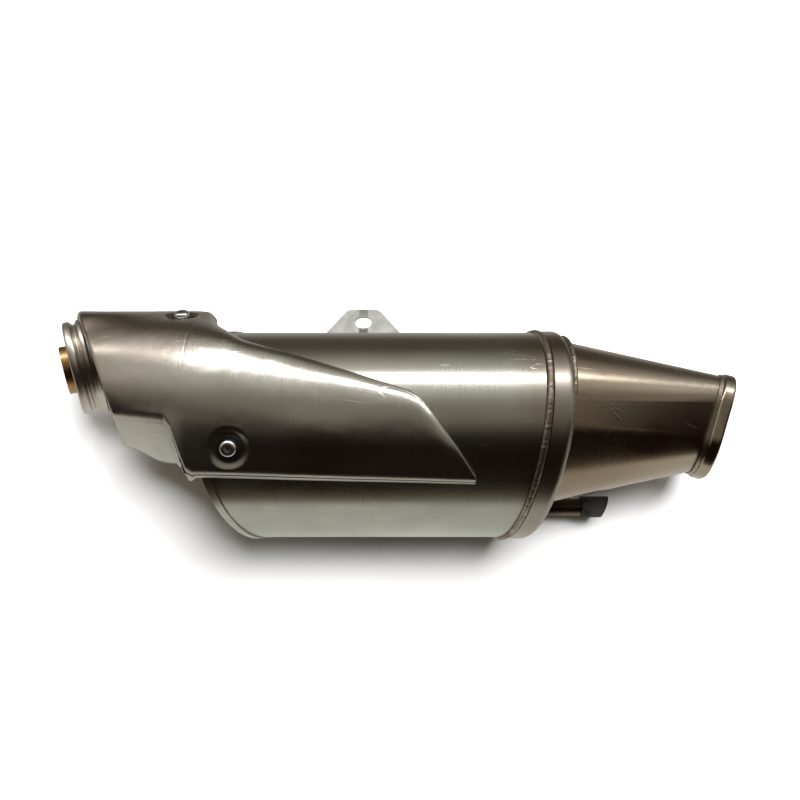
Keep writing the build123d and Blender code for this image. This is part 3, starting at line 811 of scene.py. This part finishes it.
def soft_box(name, centre, target, size, power, in_metal=True):
    """A rectangular soft light at centre, facing target, in silencer millimetres and watts."""
    light = bpy.data.lights.new(name, "AREA")
    light.shape = "RECTANGLE"
    light.size, light.size_y = size[0] * MM, size[1] * MM
    light.energy = power
    lamp = bpy.data.objects.new(name, light)
    lamp.location = place(*centre)
    direction = place(*target) - lamp.location
    lamp.rotation_euler = direction.to_track_quat("-Z", "Y").to_euler()
    lamp.visible_glossy = in_metal
    bpy.context.scene.collection.objects.link(lamp)


# The room as the metal sees it; the floor itself isn't mirrored
PAPER, DIM_PAPER = (0.82, 0.81, 0.74), (0.50, 0.49, 0.44)
PAPER_EDGE, DARK_SIDE = (0.16, 0.11, 0.07), (0.015, 0.008, 0.005)
CEILING, BRIGHT_CEILING = (0.36, 0.33, 0.27), (0.90, 0.89, 0.81)
WALL, FAR_PAPER = (0.36, 0.33, 0.27), (0.12, 0.105, 0.085)
# Degrees from straight up, positive toward the bracket side
ROOM = [(-180, DIM_PAPER), (-150, PAPER), (-90, PAPER), (-82, PAPER_EDGE), (-68, DARK_SIDE), (-8, DARK_SIDE),
        (10, CEILING), (24, CEILING), (45, BRIGHT_CEILING), (66, BRIGHT_CEILING), (88, WALL),
        (100, FAR_PAPER), (122, FAR_PAPER), (146, DIM_PAPER)]


def make_world():
    """The room's tones by the angle round the can's length, so each runs along the whole can."""
    world = bpy.data.worlds.new("studio")
    bpy.context.scene.world = world
    world.use_nodes = True
    tree = world.node_tree
    tree.nodes.clear()
    out = tree.nodes.new("ShaderNodeOutputWorld")
    background = tree.nodes.new("ShaderNodeBackground")
    coord = tree.nodes.new("ShaderNodeTexCoord")
    split = tree.nodes.new("ShaderNodeSeparateXYZ")
    turn = tree.nodes.new("ShaderNodeMath")
    turn.operation = "ARCTAN2"
    away = tree.nodes.new("ShaderNodeMath")
    away.operation = "MULTIPLY"
    away.inputs[1].default_value = -1.0
    scale = tree.nodes.new("ShaderNodeMapRange")
    scale.inputs["From Min"].default_value = -math.pi
    scale.inputs["From Max"].default_value = math.pi
    ramp = tree.nodes.new("ShaderNodeValToRGB")
    tree.links.new(coord.outputs["Generated"], split.inputs["Vector"])
    tree.links.new(split.outputs["X"], away.inputs[0])
    tree.links.new(away.outputs[0], turn.inputs[0])
    tree.links.new(split.outputs["Z"], turn.inputs[1])
    tree.links.new(turn.outputs[0], scale.inputs["Value"])
    tree.links.new(scale.outputs["Result"], ramp.inputs["Fac"])
    tree.links.new(ramp.outputs["Color"], background.inputs["Color"])
    tree.links.new(background.outputs["Background"], out.inputs["Surface"])
    stops = ramp.color_ramp.elements
    while len(stops) > 1:
        stops.remove(stops[-1])
    stops[0].position = 0.0
    stops[0].color = (*ROOM[0][1], 1)
    for degrees, color in ROOM[1:]:
        stops.new((degrees + 180) / 360).color = (*color, 1)


def make_camera():
    """Almost straight above the silencer, leaning slightly from its underside."""
    distance, height, lean = 502.6, -63.6, math.radians(10.0)
    data = bpy.data.cameras.new("camera")
    data.sensor_width, data.lens = 36.0, 31.5
    data.clip_start = 0.01
    camera = bpy.data.objects.new("camera", data)
    back = Vector((math.sin(lean), 0, math.cos(lean)))
    up = Vector((-math.cos(lean), 0, math.sin(lean)))
    turn = Matrix((up.cross(back), up, back)).transposed()
    camera.matrix_world = Matrix.Translation(place(0, height, distance)) @ turn.to_4x4()
    bpy.context.scene.collection.objects.link(camera)
    bpy.context.scene.camera = camera


make_floor()
make_world()
make_camera()
soft_box("bracket_side", centre=(0, 2080, 1440), target=(0, 0, 20), size=(4200, 420), power=44.0)
soft_box("overhead", centre=(300, 430, 1450), target=(0, 0, 0), size=(700, 700), power=42.0, in_metal=False)

view = bpy.context.scene.view_settings
view.view_transform = "Standard"
view.look = "None"
